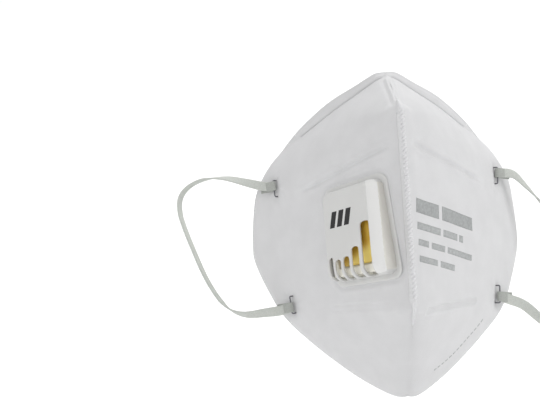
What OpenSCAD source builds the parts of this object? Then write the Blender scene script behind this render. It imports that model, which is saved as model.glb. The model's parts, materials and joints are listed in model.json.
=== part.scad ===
// Vertical flat-fold dust mask with an exhalation valve and two elastic ear loops, opened as worn.
// Frame: Z up, X towards the wearer's left, Y towards the face, origin at the middle of the face opening.
// Each side panel is one flat cut, folded along two creases. Flat coordinates: x runs back from the
// centre front weld, y runs up from the weld's lower end, z is the distance outwards from the hinge plane.

/* [Side panel, flat cut] */
// Length of the centre front weld
weld_len = 86; // [84:1:88]
// Greatest reach of a panel back from the weld
panel_reach = 103.5; // [101:0.5:105]
// Height of the cheek, the panel's widest point, above the weld's lower end
cheek_height = 26.5; // [24:0.5:29]
// Length of the nose edge, from the weld's upper end to the nose tip
nose_edge = 41; // [39:0.5:43]
// Rise of the nose edge above the horizontal, degrees
nose_rise = 52; // [50:0.5:54]
// Length of the chin edge, from the weld's lower end to the chin tip
chin_edge = 53; // [50:0.5:56]
// Fall of the chin edge below the horizontal, degrees
chin_fall = 66.5; // [65:0.5:68]
// Fall of the upper crease below the horizontal, degrees
upper_crease_fall = 11; // [9:0.5:13]
// Fall of the lower crease below the horizontal, degrees
lower_crease_fall = 6; // [5:0.5:8]

/* [Nose band] */
// Bend of the nose band outwards from the panel, degrees
band_flare = 42; // [30:1:46]
// Width of the bendable strip inside the nose band
clip_width = 3.6; // [3:0.1:3.8]
// Thickness of the strip
clip_thick = 0.7; // [0.5:0.05:0.75]

/* [Opening] */
// Angle between each panel and the plane of symmetry
half_angle = 43; // [38:1:46]
// Distance from the centre weld's hinge line to the plane of the face opening
weld_depth = 50; // [45:1:55]

/* [Cloth layers] */
// Inner cover cloth thickness
inner_thick = 0.3; // [0.2:0.05:0.4]
// Filter layer thickness
filter_thick = 0.9; // [0.8:0.05:1.2]
// Outer cover cloth thickness
outer_thick = 0.4; // [0.3:0.05:0.5]
// Gap between the hinge plane and the inner cover, which keeps the folded panels apart
hinge_gap = 0.4; // [0.3:0.05:0.5]

/* [Centre weld] */
// Thickness of the pressed fin
fin_thick = 1.6; // [1:0.1:1.6]
// Depth of the fin in front of the hinge line
fin_depth = 3; // [2:0.5:4]
// Radius of the bead along the fin's front edge
bead_radius = 1.3; // [1:0.1:1.5]

/* [Valve] */
// Width of the valve cover
valve_width = 34; // [32:0.5:34.5]
// Height of the valve cover
valve_height = 42; // [41:0.5:43]
// Stand-off of the cover at its upper edge
cover_rise_top = 4.4; // [4.2:0.1:5]
// Stand-off of the cover at its lower edge
cover_rise_bottom = 8.8; // [8.6:0.1:9.5]
// Lean of the valve away from the weld, degrees
valve_lean = 7; // [0:1:8]
// Wall thickness of the cover
cover_wall = 1; // [0.8:0.1:1]

/* [Ear loops] */
// Width of the elastic band
band_width = 5; // [4:0.5:5.5]
// Thickness of the elastic band
band_thick = 1; // [0.8:0.1:1.2]
// Angle of the loops outwards from the panel
loop_rest = 30; // [25:1:35]

/* [Hidden] */
// Height of the weld's lower end in the frame
weld_bottom = -33;
inner_base = hinge_gap;
filter_base = inner_base + inner_thick;
outer_base = filter_base + filter_thick;
outer_face = outer_base + outer_thick;
crease_trim = 0.15;
seam_trim = 1.2;
weld_trim = 1;
far = 200;
curve_steps = 14;

// Points of the flat cut
nose_tip = [0, weld_len] + nose_edge * [cos(nose_rise), sin(nose_rise)];
chin_tip = chin_edge * [cos(chin_fall), -sin(chin_fall)];
cheek = [panel_reach, cheek_height];
function bezier(a, b, c, d, t) =
    pow(1 - t, 3) * a + 3 * t * pow(1 - t, 2) * b + 3 * t * t * (1 - t) * c + pow(t, 3) * d;
nose_curve = [for (i = [0 : curve_steps])
    bezier(nose_tip, nose_tip + [15, -9], cheek + [0, 70], cheek, i / curve_steps)];
chin_curve = [for (i = [1 : curve_steps])
    bezier(cheek, cheek - [0, 14], chin_tip + [23, -2.5], chin_tip, i / curve_steps)];

// Bend of a crease that brings the free edge beyond it onto the plane of symmetry.
// weld_turn is the flat angle from the weld to the crease, edge_turn from the crease to the edge.
function edge_lie(weld_turn, edge_turn) =
    atan2(sin(weld_turn) * cos(half_angle), cos(weld_turn))
    + acos(cos(edge_turn) / norm([cos(weld_turn), sin(weld_turn) * cos(half_angle)]));
function crease_bend(weld_turn, edge_turn) =
    acos((cos(weld_turn) * cos(edge_turn) - cos(edge_lie(weld_turn, edge_turn)))
         / (sin(weld_turn) * sin(edge_turn)));
upper_bend = crease_bend(90 - upper_crease_fall, nose_rise + upper_crease_fall);
lower_bend = crease_bend(90 + lower_crease_fall, chin_fall - lower_crease_fall);

// Groove along which the nose band bends out, and the strip's place along and above it
groove_start = [22.5, 114.5];
groove_end = [70, 89];
groove_fall = atan2(groove_start[1] - groove_end[1], groove_end[0] - groove_start[0]);
clip_reach = [4, 52];
clip_above = 3;
join = 0.005;

// Valve, in its own frame: x away from the weld, y up, z outwards from the outer cloth
valve_centre = [24.4, 34];
flange_margin = 2.5;
flange_thick = 0.6;
corner_radius = 4;
port = [20, 24];
cloth_hole = [23, 27];
seat_inset = 1.5;
seat_top = 2.2;
flap_size = [23, 29];
flap_base = 2.3;
flap_thick = 0.5;
// Slots of the cover, from the weld outwards: near side, width and top
slots = [[-10.4, 5.5, 3.6], [-2.9, 4.2, -6.6], [3, 3.6, -10.2], [8.2, 3.3, -11], [12.9, 2.4, -9.6]];

// Ear loops: the wire crowns of the two staples lie on one line, the loop's swing axis
staple_low = [72.5, 0];
staple_high = [80.5, 60];
crown_height = outer_face + 1.6;
crown_half = 4.3;
wire_radius = 0.4;
eye_outer = 1.3;
eye_inner = 0.6;
swing_turn = atan2(staple_high[1] - staple_low[1], staple_high[0] - staple_low[0]) - 90;
swing_span = norm(staple_high - staple_low);
// Routes in the loop's own plane: x away from the swing axis, y up it from the lower staple
right_route = [[0.9, 0], [6, -1], [14, -2], [25, -1.5], [33, 2], [39, 9], [45, 21], [50, 36],
    [54, 50], [55.5, 59], [54, 66.5], [48, 71.5], [38, 73.5], [26, 71.5], [14, 66], [6, 62],
    [0.9, swing_span]];
left_route = [[0.9, 0], [6, -1.5], [14, -5], [24, -12], [34, -18.5], [45, -20], [53, -14],
    [57, -2], [56, 11], [50, 23], [42, 33], [33, 42], [24, 50], [16, 56.5], [9, 61],
    [0.9, swing_span]];
route_steps = 3;

white_cloth = [0.93, 0.93, 0.94];
filter_white = [0.97, 0.97, 0.95];
inner_white = [0.96, 0.96, 0.96];
valve_white = [0.95, 0.95, 0.94];
flap_yellow = [0.85, 0.68, 0.25];
band_grey = [0.83, 0.85, 0.83];
steel = [0.45, 0.45, 0.47];

// ---- placing ----

// A panel's flat frame stood up and opened to its side
module on_panel(side) {
    mirror([side == "right" ? 1 : 0, 0, 0])
    translate([0, -weld_depth, weld_bottom])
    rotate([90, 0, 90 - half_angle])
    children();
}

module turn_about(point, angle, bend) {
    translate(point) rotate([0, 0, angle]) rotate([bend, 0, 0])
    rotate([0, 0, -angle]) translate(-point)
    children();
}

module folded(zone) {
    if (zone == "upper") turn_about([0, weld_len, 0], -upper_crease_fall, -upper_bend) children();
    else if (zone == "lower") turn_about([0, 0, 0], -lower_crease_fall, lower_bend) children();
    else children();
}

module on_valve() {
    on_panel("right") translate([valve_centre[0], valve_centre[1], outer_face])
    rotate([0, 0, -valve_lean])
    children();
}

// Loop frame: x away from the swing axis, y up along it
module on_swing_axis(side, lift) {
    on_panel(side) translate([staple_low[0], staple_low[1], crown_height])
    rotate([0, 0, swing_turn]) rotate([0, -lift, 0])
    children();
}

// ---- flat shapes ----

module whole_cut() {
    polygon(concat([[0, 0], [0, weld_len]], nose_curve, chin_curve));
}

// Everything above a line through a point
module above(point, angle) {
    translate(point) rotate(angle) translate([-far, 0]) square([2 * far, far]);
}

module upper_zone() {
    difference() {
        intersection() {
            whole_cut();
            above([0, weld_len + crease_trim], -upper_crease_fall);
        }
        translate([0, weld_len]) rotate(nose_rise) translate([-far / 2, -seam_trim]) square([far, far / 2]);
    }
}

module middle_zone() {
    difference() {
        intersection() {
            whole_cut();
            above([0, crease_trim], -lower_crease_fall);
            translate([weld_trim, -far]) square([far, 2 * far]);
        }
        above([0, weld_len - crease_trim], -upper_crease_fall);
        for (at = [staple_low, staple_high])
            translate(at) rotate(swing_turn)
            for (end = [-1, 1]) translate([0, end * crown_half]) circle(r = wire_radius + 0.1, $fn = 24);
    }
}

module lower_zone() {
    difference() {
        whole_cut();
        above([0, -crease_trim], -lower_crease_fall);
        rotate(-chin_fall) translate([-far / 2, -far / 2]) square([far, far / 2 + seam_trim]);
    }
}

module rounded(size, radius) {
    translate([-size[0] / 2 + radius, -size[1] / 2])
    square([size[0] - 2 * radius, size[1]]);
    translate([-size[0] / 2, -size[1] / 2 + radius])
    square([size[0], size[1] - 2 * radius]);
    for (i = [-1, 1], j = [-1, 1])
        translate([i * (size[0] / 2 - radius), j * (size[1] / 2 - radius)]) circle(r = radius, $fn = 32);
}

module zone_shape(zone, side) {
    if (zone == "upper") upper_zone();
    else if (zone == "lower") lower_zone();
    else difference() {
        middle_zone();
        if (side == "right") translate(valve_centre) rotate(-valve_lean) rounded(cloth_hole, 3);
    }
}

// The strip's outline, grown all round for the pocket that it lies in
module clip_shape(grow) {
    translate(groove_start) rotate(-groove_fall)
    translate([clip_reach[0] - grow, clip_above - clip_width / 2 - grow])
    square([clip_reach[1] - clip_reach[0] + 2 * grow, clip_width + 2 * grow]);
}

// The space beyond the groove, tipped by an angle about it
module past_groove(tip, toward) {
    translate(groove_start) rotate([0, 0, -groove_fall]) rotate([tip, 0, 0])
    translate([-far, toward > 0 ? join : -far - join, -far]) cube([2 * far, far, 2 * far]);
}

// An upper plate, mitred along the groove and bent out beyond it
module with_nose_band() {
    difference() {
        children();
        past_groove(band_flare / 2, 1);
    }
    turn_about([groove_start[0], groove_start[1], 0], -groove_fall, band_flare) difference() {
        children();
        past_groove(-band_flare / 2, -1);
    }
}

// One layer of a zone, from its flat shape
module layer(zone, side, base, thick, pocket = false) {
    module plate() {
        translate([0, 0, base]) linear_extrude(thick) difference() {
            zone_shape(zone, side);
            if (pocket && zone == "upper") clip_shape(0.15);
        }
    }
    on_panel(side) folded(zone) {
        if (zone == "upper") with_nose_band() plate();
        else plate();
    }
}

// ---- cloth ----

module outer_cover(zone, side) {
    color(white_cloth) layer(zone, side, outer_base, outer_thick);
}

module filter_layer(zone, side) {
    color(filter_white) layer(zone, side, filter_base, filter_thick, pocket = true);
}

module inner_cover(zone, side) {
    color(inner_white) layer(zone, side, inner_base, inner_thick);
}

module centre_weld() {
    fin_back = 0.8;
    color(white_cloth) translate([0, -weld_depth, weld_bottom]) {
        translate([-fin_thick / 2, -fin_back - fin_depth, 0]) cube([fin_thick, fin_depth, weld_len]);
        translate([0, -fin_back - fin_depth, 0]) cylinder(h = weld_len, r = bead_radius, $fn = 32);
    }
}

module nose_clip(side) {
    color(steel) on_panel(side) folded("upper")
    turn_about([groove_start[0], groove_start[1], 0], -groove_fall, band_flare)
    translate([0, 0, filter_base + (filter_thick - clip_thick) / 2])
    linear_extrude(clip_thick) clip_shape(0);
}

// ---- valve ----

module valve_seat() {
    rib = 1.6;
    color(valve_white) on_valve() {
        linear_extrude(flange_thick) difference() {
            rounded([valve_width + 2 * flange_margin, valve_height + 2 * flange_margin], corner_radius + 1);
            rounded(port, 2);
        }
        translate([0, 0, flange_thick])
        linear_extrude(seat_top - flange_thick) difference() {
            rounded([valve_width - 2 * seat_inset, valve_height - 2 * seat_inset], corner_radius - 1.5);
            rounded(port, 2);
        }
        translate([-rib / 2, -port[1] / 2 - 0.5, 0]) cube([rib, port[1] + 1, seat_top]);
        translate([-port[0] / 2 - 0.5, -rib / 2, 0]) cube([port[0] + 1, rib, seat_top]);
    }
}

module valve_flap() {
    color(flap_yellow) on_valve() translate([0, 0, flap_base])
    linear_extrude(flap_thick) rounded(flap_size, 2);
}

// Wedge that stands off more at its lower edge, its top lowered by drop
module cover_wedge(size, radius, drop) {
    slope = (cover_rise_bottom - cover_rise_top) / valve_height;
    half = valve_height / 2 + 1;
    intersection() {
        linear_extrude(cover_rise_bottom) rounded(size, radius);
        rotate([90, 0, 90]) linear_extrude(size[0] + 2, center = true)
        polygon([[-half, flange_thick], [half, flange_thick],
            [half, cover_rise_top - drop - slope], [-half, cover_rise_bottom - drop + slope]]);
    }
}

module valve_cover() {
    color(valve_white) on_valve() difference() {
        cover_wedge([valve_width, valve_height], corner_radius, 0);
        translate([0, 0, -0.01])
        cover_wedge([valve_width - 2 * cover_wall, valve_height - 2 * cover_wall],
            corner_radius - cover_wall, cover_wall);
        for (slot = slots)
            translate([slot[0], -valve_height, seat_top + 0.3])
            cube([slot[1], valve_height + slot[2], cover_rise_bottom]);
    }
}

// ---- ear loops ----

// Catmull-Rom point between b and c
function smooth(a, b, c, d, t) =
    0.5 * (2 * b + (c - a) * t + (2 * a - 5 * b + 4 * c - d) * t * t + (3 * b - a - 3 * c + d) * pow(t, 3));
function route_points(r) = [for (i = [0 : len(r) - 2], k = [0 : route_steps - 1])
    smooth(r[max(i - 1, 0)], r[i], r[i + 1], r[min(i + 2, len(r) - 1)], k / route_steps), r[len(r) - 1]];
// The band lies along the swing axis at both ends and turns a quarter to bend round the far end
function band_turn(t) = 90 * min(1, 4 * min(t, 1 - t));
function band_ring(p, along, turn) =
    let (w = band_width / 2, h = band_thick / 2, c = 0.3, across = [-along[1], along[0], 0],
        wide = cos(turn) * across + [0, 0, sin(turn)], thick = cross(wide, [along[0], along[1], 0]))
    [for (q = [[w, h - c], [w - c, h], [c - w, h], [-w, h - c], [-w, c - h], [c - w, -h], [w - c, -h], [w, c - h]])
        [p[0], p[1], 0] + q[0] * wide + q[1] * thick];
function heading(pts, i) = let (d = pts[min(i + 1, len(pts) - 1)] - pts[max(i - 1, 0)]) d / norm(d);

module band(route) {
    pts = route_points(route);
    last = len(pts) - 1;
    rings = [for (i = [0 : last]) band_ring(pts[i],
        i == 0 ? [1, 0] : i == last ? [-1, 0] : heading(pts, i), band_turn(i / last))];
    polyhedron(
        points = [for (ring = rings) each ring],
        faces = concat(
            [[for (j = [7 : -1 : 0]) j]],
            [for (i = [0 : last - 1], j = [0 : 7]) let (k = i * 8, n = (j + 1) % 8)
                each [[k + n, k + 8 + n, k + 8 + j], [k + n, k + 8 + j, k + j]]],
            [[for (j = [0 : 7]) last * 8 + j]]));
}

// The band's end, folded round the staple's wire crown
module eye() {
    rotate([90, 0, 0]) difference() {
        cylinder(h = band_width, r = eye_outer, center = true, $fn = 32);
        cylinder(h = band_width + 2, r = eye_inner, center = true, $fn = 32);
    }
}

module ear_loop(side) {
    color(band_grey) on_swing_axis(side, loop_rest) {
        band(side == "right" ? right_route : left_route);
        eye();
        translate([0, swing_span, 0]) eye();
    }
}

module staple(side, up) {
    leg = crown_height + 0.1;
    color(steel) on_swing_axis(side, 0) translate([0, up, 0]) {
        rotate([90, 0, 0]) cylinder(h = 2 * crown_half, r = wire_radius, center = true, $fn = 24);
        for (end = [-1, 1]) translate([0, end * crown_half, 0]) {
            sphere(r = wire_radius, $fn = 24);
            translate([0, 0, -leg]) cylinder(h = leg, r = wire_radius, $fn = 24);
            translate([0, 0, -leg]) sphere(r = wire_radius, $fn = 24);
            translate([0, 0, -leg]) rotate([end * 90, 0, 0]) cylinder(h = 3, r = wire_radius, $fn = 24);
        }
    }
}

outer_cover("upper", "right");  // outer_cover_upper_right
outer_cover("middle", "right");  // outer_cover_middle_right
outer_cover("lower", "right");  // outer_cover_lower_right
outer_cover("upper", "left");  // outer_cover_upper_left
outer_cover("middle", "left");  // outer_cover_middle_left
outer_cover("lower", "left");  // outer_cover_lower_left
filter_layer("upper", "right");  // filter_layer_upper_right
filter_layer("middle", "right");  // filter_layer_middle_right
filter_layer("lower", "right");  // filter_layer_lower_right
filter_layer("upper", "left");  // filter_layer_upper_left
filter_layer("middle", "left");  // filter_layer_middle_left
filter_layer("lower", "left");  // filter_layer_lower_left
inner_cover("upper", "right");  // inner_cover_upper_right
inner_cover("middle", "right");  // inner_cover_middle_right
inner_cover("lower", "right");  // inner_cover_lower_right
inner_cover("upper", "left");  // inner_cover_upper_left
inner_cover("middle", "left");  // inner_cover_middle_left
inner_cover("lower", "left");  // inner_cover_lower_left
centre_weld();
nose_clip("right");  // nose_clip_right
nose_clip("left");  // nose_clip_left
valve_seat();
valve_flap();
valve_cover();
ear_loop("right");  // ear_loop_right
ear_loop("left");  // ear_loop_left
staple("right", swing_span);  // staple_upper_right
staple("right", 0);  // staple_lower_right
staple("left", swing_span);  // staple_upper_left
staple("left", 0);  // staple_lower_left
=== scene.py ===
"""Disposable dust mask: cloth panels, valve, ear loops and staples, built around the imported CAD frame."""

import json
import math

import bmesh
import bpy
import numpy as np
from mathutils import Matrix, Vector, geometry


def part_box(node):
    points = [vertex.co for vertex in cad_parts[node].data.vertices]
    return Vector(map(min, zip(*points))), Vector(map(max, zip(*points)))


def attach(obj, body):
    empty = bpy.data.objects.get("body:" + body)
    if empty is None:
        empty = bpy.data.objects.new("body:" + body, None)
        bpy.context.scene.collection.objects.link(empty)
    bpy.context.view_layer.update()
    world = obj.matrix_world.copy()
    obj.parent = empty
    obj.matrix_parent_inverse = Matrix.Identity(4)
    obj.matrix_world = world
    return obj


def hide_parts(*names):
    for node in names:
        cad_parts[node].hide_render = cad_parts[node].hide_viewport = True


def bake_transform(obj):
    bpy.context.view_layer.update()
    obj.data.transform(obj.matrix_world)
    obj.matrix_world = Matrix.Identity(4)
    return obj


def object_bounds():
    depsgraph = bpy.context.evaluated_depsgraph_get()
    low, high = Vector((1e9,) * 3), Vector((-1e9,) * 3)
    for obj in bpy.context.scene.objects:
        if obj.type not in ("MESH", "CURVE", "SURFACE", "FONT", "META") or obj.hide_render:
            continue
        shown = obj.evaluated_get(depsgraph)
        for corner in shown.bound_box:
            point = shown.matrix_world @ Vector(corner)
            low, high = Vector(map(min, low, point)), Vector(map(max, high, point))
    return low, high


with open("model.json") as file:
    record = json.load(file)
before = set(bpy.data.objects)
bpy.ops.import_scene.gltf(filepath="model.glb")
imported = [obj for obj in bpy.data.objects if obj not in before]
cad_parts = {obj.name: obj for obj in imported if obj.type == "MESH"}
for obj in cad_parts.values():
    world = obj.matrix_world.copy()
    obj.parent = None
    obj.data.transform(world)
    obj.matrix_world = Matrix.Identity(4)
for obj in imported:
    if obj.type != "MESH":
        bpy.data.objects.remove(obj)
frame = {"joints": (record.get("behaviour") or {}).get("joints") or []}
cad_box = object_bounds()

MM = 0.001
joints = {j["name"]: j for j in frame["joints"]}


# ---- the frame's own lines, in millimetres ----

def in_mm(point):
    return np.array(point, float) / MM


weld_low, weld_high = (in_mm(corner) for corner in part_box("centre_weld"))
hinge = in_mm(joints["left_fold"]["pos_m"])
weld_bottom = weld_low[2]
weld_len = weld_high[2] - weld_low[2]
upper_axis = np.array(joints["left_upper_crease"]["axis"])
lower_axis = -np.array(joints["left_lower_crease"]["axis"])
BACK = upper_axis * [1, 1, 0] / np.hypot(*upper_axis[:2])   # along the left panel, away from the weld
UP = np.array([0.0, 0.0, 1.0])
OUT = np.cross(BACK, UP)                                    # out of the left panel
half_angle = math.atan2(BACK[0], BACK[1])
ORIGIN = np.array([0.0, hinge[1], weld_bottom])

# ---- the flat cut, as in the CAD source ----

upper_fall = math.degrees(math.asin(-upper_axis[2]))
lower_fall = math.degrees(math.asin(-lower_axis[2]))
nose_edge, nose_rise = 41.0, 52.0
chin_edge, chin_fall = 53.0, 66.5
cheek = np.array([103.5, 26.5])
groove_start = np.array([22.5, 114.5])
groove_end = np.array([70.0, 89.0])
groove_dir = (groove_end - groove_start) / math.hypot(*(groove_end - groove_start))
groove_off = np.array([-groove_dir[1], groove_dir[0]])
band_flare = math.radians(42)
valve_centre, valve_lean = np.array([24.4, 34.0]), math.radians(7)
valve_size = np.array([34.0, 42.0])
flange_margin = 2.5
staple_low, staple_high = np.array([72.5, 0.0]), np.array([80.5, 60.0])
swing_span = math.hypot(*(staple_high - staple_low))
staple_dir = (staple_high - staple_low) / swing_span
crown_half, crown_height = 4.3, 3.6
loop_lift = math.radians(30)
INNER, FILTER, OUTER = (0.42, 0.68), (0.72, 1.58), (1.62, 2.0)   # the layers' faces above the hinge surface
WELD_GAP = 0.3


def turned(angle_deg):
    a = math.radians(angle_deg)
    return np.array([math.cos(a), math.sin(a)])


nose_tip = np.array([0, weld_len]) + nose_edge * turned(nose_rise)
chin_tip = chin_edge * turned(-chin_fall)
nose_line = np.array([[0, weld_len], nose_tip])


def bezier(a, b, c, d, count):
    t = np.linspace(0, 1, count)[:, None]
    return (1 - t) ** 3 * a + 3 * t * (1 - t) ** 2 * b + 3 * t * t * (1 - t) * c + t ** 3 * d


def smooth(x, low, high):
    """0 below low, 1 above high, and a smooth step between."""
    t = np.clip((np.asarray(x, float) - low) / (high - low), 0, 1)
    return t * t * (3 - 2 * t)


def bump(distance, width):
    """A soft bump, 1 where distance is 0."""
    return np.exp(-(distance / width) ** 2)


def crease_bend(weld_turn, edge_turn):
    """Bend that brings the free edge beyond a crease onto the plane of symmetry."""
    w, e = math.radians(weld_turn), math.radians(edge_turn)
    run = math.hypot(math.cos(w), math.sin(w) * math.cos(half_angle))
    lie = math.atan2(math.sin(w) * math.cos(half_angle), math.cos(w)) + math.acos(math.cos(e) / run)
    return math.acos((math.cos(w) * math.cos(e) - math.cos(lie)) / (math.sin(w) * math.sin(e)))


upper_bend = crease_bend(90 - upper_fall, nose_rise + upper_fall)
lower_bend = crease_bend(90 + lower_fall, chin_fall - lower_fall)


# ---- bending a flat panel into its worn shape ----

def soft_turn(flat, lift, point, angle_deg, bend, reach, far_side):
    """Bends the cloth beyond a line through point, over a width of reach on each side of it.
    reach may change along the line; far_side is 1 above the line and -1 below it."""
    along = turned(angle_deg)
    across = np.array([-along[1], along[0]])
    rel = flat - point
    run, gone = rel @ along, rel @ across * far_side
    reach = reach(run) if callable(reach) else reach
    phi = bend * np.clip((gone + reach) / (2 * reach), 0, 1)
    radius = reach / np.tan(bend / 2)
    past = np.maximum(gone - reach, 0)
    before = np.minimum(gone, -reach)
    line = before + radius * np.sin(phi) + past * np.cos(bend)
    drop = radius * (1 - np.cos(phi)) + past * np.sin(bend)
    moved = line + lift * np.sin(phi)
    return point + np.outer(run, along) + np.outer(moved * far_side, across), lift * np.cos(phi) - drop


def fold(flat, lift, zone, reach):
    """Bends the panel at the crease that leads to the upper or the lower zone."""
    if zone == "upper":
        return soft_turn(flat, lift, np.array([0, weld_len]), -upper_fall, upper_bend, reach, 1)
    return soft_turn(flat, lift, np.zeros(2), -lower_fall, lower_bend, reach, -1)


def swell(flat, side):
    """How far the soft panel stands out of its plane."""
    s, v = flat[:, 0], flat[:, 1]
    inside = smooth(s, 2, 30) * (1 - smooth(s, 62, 100))
    mid = inside * smooth(v, 2, 30) * (1 - smooth(v, 52, 84))
    top = smooth(s, 6, 26) * (1 - smooth(s, 50, 80)) * smooth(v, 78, 92) * (1 - smooth(v, 92, 112))
    low = smooth(s, 8, 22) * (1 - smooth(s, 30, 60)) * (1 - smooth(v, -14, -4)) * smooth(v, -44, -24)
    wave = 0.22 * np.sin(s / 9.5 + 1.3 * np.sin(v / 21)) * np.sin(v / 13.0 + 0.7)
    wave += 0.12 * np.sin(s / 4.7 - v / 11.0) * np.sin(v / 6.1 + s / 15.0)
    edge = smooth(s, 3, 14)
    pinch = bump(np.hypot((s - 9) / 1.0, (v - 84) / 1.3), 5.0)
    if side == "right":
        clear = valve_clear(flat)
        return (0.9 * top + 0.7 * low + 1.0 * mid * clear + wave * edge * clear) - 0.5 * pinch
    return 1.3 * top + 0.9 * low + 1.6 * mid + wave * edge - 0.9 * pinch


def valve_local(flat):
    c, s = math.cos(valve_lean), math.sin(valve_lean)
    rel = flat - valve_centre
    return np.stack([c * rel[:, 0] - s * rel[:, 1], s * rel[:, 0] + c * rel[:, 1]], 1)


def from_valve(local):
    c, s = math.cos(valve_lean), math.sin(valve_lean)
    local = np.atleast_2d(local)
    return valve_centre + np.stack([c * local[:, 0] + s * local[:, 1], -s * local[:, 0] + c * local[:, 1]], 1)


def frame_distance(local, size, radius):
    """Signed distance from a rounded rectangle, below 0 inside it."""
    q = np.abs(local) - np.asarray(size) / 2 + radius
    return np.hypot(*np.maximum(q, 0).T) + np.minimum(q.max(1), 0) - radius


def valve_clear(flat):
    return smooth(frame_distance(valve_local(flat), valve_size + 2 * flange_margin, 5), 0.5, 14)


def ridge_of(low_point, far_point, normal):
    """A ridge on the plane of symmetry: its start, direction, outward normal and the panel's slope off it."""
    run = far_point - low_point
    run = run / np.linalg.norm(run)
    rise = np.cross(run, [1.0, 0, 0])
    if rise @ normal < 0:
        rise = -rise
    return low_point, run, rise, normal[0] / (normal @ rise)


def placed(flat, lift):
    """Points of the left panel's own plane in the row frame."""
    flat, lift = np.asarray(flat, float), np.asarray(lift, float)
    return ORIGIN + np.outer(flat[:, 0], BACK) + np.outer(flat[:, 1], UP) + np.outer(lift, OUT)


def sharp(point, zone):
    """A flat point of a zone in the row frame, with sharp creases."""
    flat, lift = fold(np.array([point], float), np.zeros(1), zone, 1e-3)
    return placed(flat, lift)[0]


def zone_normal(zone, a, b, c):
    a, b, c = (sharp(p, zone) for p in (a, b, c))
    n = np.cross(b - a, c - a)
    n /= np.linalg.norm(n)
    return n if n @ OUT > 0 else -n


nose_top, chin_low = sharp(nose_tip, "upper"), sharp(chin_tip, "lower")
upper_normal = zone_normal("upper", (5, 95), (40, 95), (20, 108))
lower_normal = zone_normal("lower", (10, -12), (40, -12), (20, -30))
nose_ridge = ridge_of(ORIGIN + UP * weld_len, nose_top, upper_normal)
chin_ridge = ridge_of(ORIGIN, chin_low, lower_normal)
nose_round, chin_round = 2.6, 3.6


def creased(flat, side):
    """The hinge surface of the left panel, folded at its creases and rounded over its ridges."""
    lift = swell(flat, side)
    flat, lift = fold(flat, lift, "upper", lambda run: 1.2 + 10.5 * smooth(run, 2, 45))
    flat, lift = fold(flat, lift, "lower", lambda run: 1.2 + 8.5 * smooth(run, 2, 40))
    body = placed(flat, lift)
    for (start, run, rise, slope), size in ((nose_ridge, nose_round), (chin_ridge, chin_round)):
        gone = (body - start) @ run
        radius = 0.8 + (size - 0.8) * smooth(gone, 0.5, 9)
        past = smooth(gone, -1.5, 0.6)
        x = body[:, 0]
        body = body - np.outer((np.sqrt(x * x + radius ** 2) - x) * slope * past, rise)
    return body


def normals_of(surface, flat, side, h=0.25):
    du = surface(flat + [h, 0], side) - surface(flat - [h, 0], side)
    dv = surface(flat + [0, h], side) - surface(flat - [0, h], side)
    n = np.cross(du, dv)
    return n / np.linalg.norm(n, axis=1)[:, None]


def seam_pull(flat):
    """1 on the flared end of the nose seam, where both panels meet, fading to 0 a little way off it."""
    gap, at = near_line(flat, nose_line)
    return (1 - smooth(gap, 0, 4)) * smooth(at, 32, 35.5)


def worn(flat, side):
    """The hinge surface of the left panel as worn, its nose band bent outwards beyond the groove.
    The right panel is its mirror image."""
    rel = flat - groove_start
    run, gone = rel @ groove_dir, rel @ groove_off
    flare = band_flare * (1 - smooth(run, 62, 92))
    reach = 1.3
    share = np.clip((gone + reach) / (2 * reach), 0, 1)
    past = np.maximum(gone - reach, 0)
    arc = reach * share ** 2
    shrink = (1 - np.cos(flare)) * (arc * 0.5 + past)
    pull = seam_pull(flat)
    lift = np.sin(flare) * (arc + past) * (1 - 0.45 * pull)
    flat = flat - np.outer(shrink, groove_off)
    body = creased(flat, side) + normals_of(creased, flat, side) * lift[:, None]
    body[:, 0] *= 1 - pull
    return body


def worn_normals(flat, side):
    n = normals_of(worn, flat, side)
    n[:, 0] *= 1 - seam_pull(flat)
    return n / np.linalg.norm(n, axis=1)[:, None]


def on_side(points, side):
    """Left-side points, mirrored for the right side."""
    return points * [-1, 1, 1] if side == "right" else points


# ---- the cut's outline and its triangles ----

def run_along(points):
    """How far along a polyline each of its points is."""
    return np.concatenate([[0], np.cumsum(np.hypot(*np.diff(points, axis=0).T))])


def directions(points):
    """Unit direction of a polyline at each of its points."""
    d = np.vstack([points[1:], points[-1:]]) - np.vstack([points[:1], points[:-1]])
    return d / np.linalg.norm(d, axis=1)[:, None]


def even(points, step):
    """The polyline with points at even steps."""
    run = run_along(points)
    count = max(2, int(round(run[-1] / step)) + 1)
    at = np.linspace(0, run[-1], count)
    return np.stack([np.interp(at, run, points[:, i]) for i in (0, 1)], 1)


rim_curve = np.vstack([bezier(nose_tip, nose_tip + [15, -9], cheek + [0, 70], cheek, 90),
                       bezier(cheek, cheek - [0, 14], chin_tip + [23, -2.5], chin_tip, 60)[1:]])
rim = even(rim_curve, 0.8)


def near_line(flat, line):
    """Distance of each point from a polyline, and how far along it the nearest point is."""
    best = np.full(len(flat), 1e9)
    where = np.zeros(len(flat))
    total = 0.0
    for a, b in zip(line[:-1], line[1:]):
        d = b - a
        length = math.hypot(*d)
        t = np.clip((flat - a) @ d / (length * length), 0, 1)
        gap = np.hypot(*(flat - a - np.outer(t, d)).T)
        closer = gap < best
        best[closer] = gap[closer]
        where[closer] = total + t[closer] * length
        total += length
    return best, where


def cut_height(s):
    """The line at mid height where each layer is split into a top and a bottom piece."""
    return weld_len / 2 - 0.15 * np.asarray(s)


def inside(points, polygon):
    """Which points lie inside a polygon."""
    x, y = points.T
    result = np.zeros(len(points), bool)
    for (x1, y1), (x2, y2) in zip(polygon, np.roll(polygon, -1, axis=0)):
        crosses = (y1 > y) != (y2 > y)
        if y1 != y2:
            result ^= crosses & (x < (x2 - x1) * (y - y1) / (y2 - y1) + x1)
    return result


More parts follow.
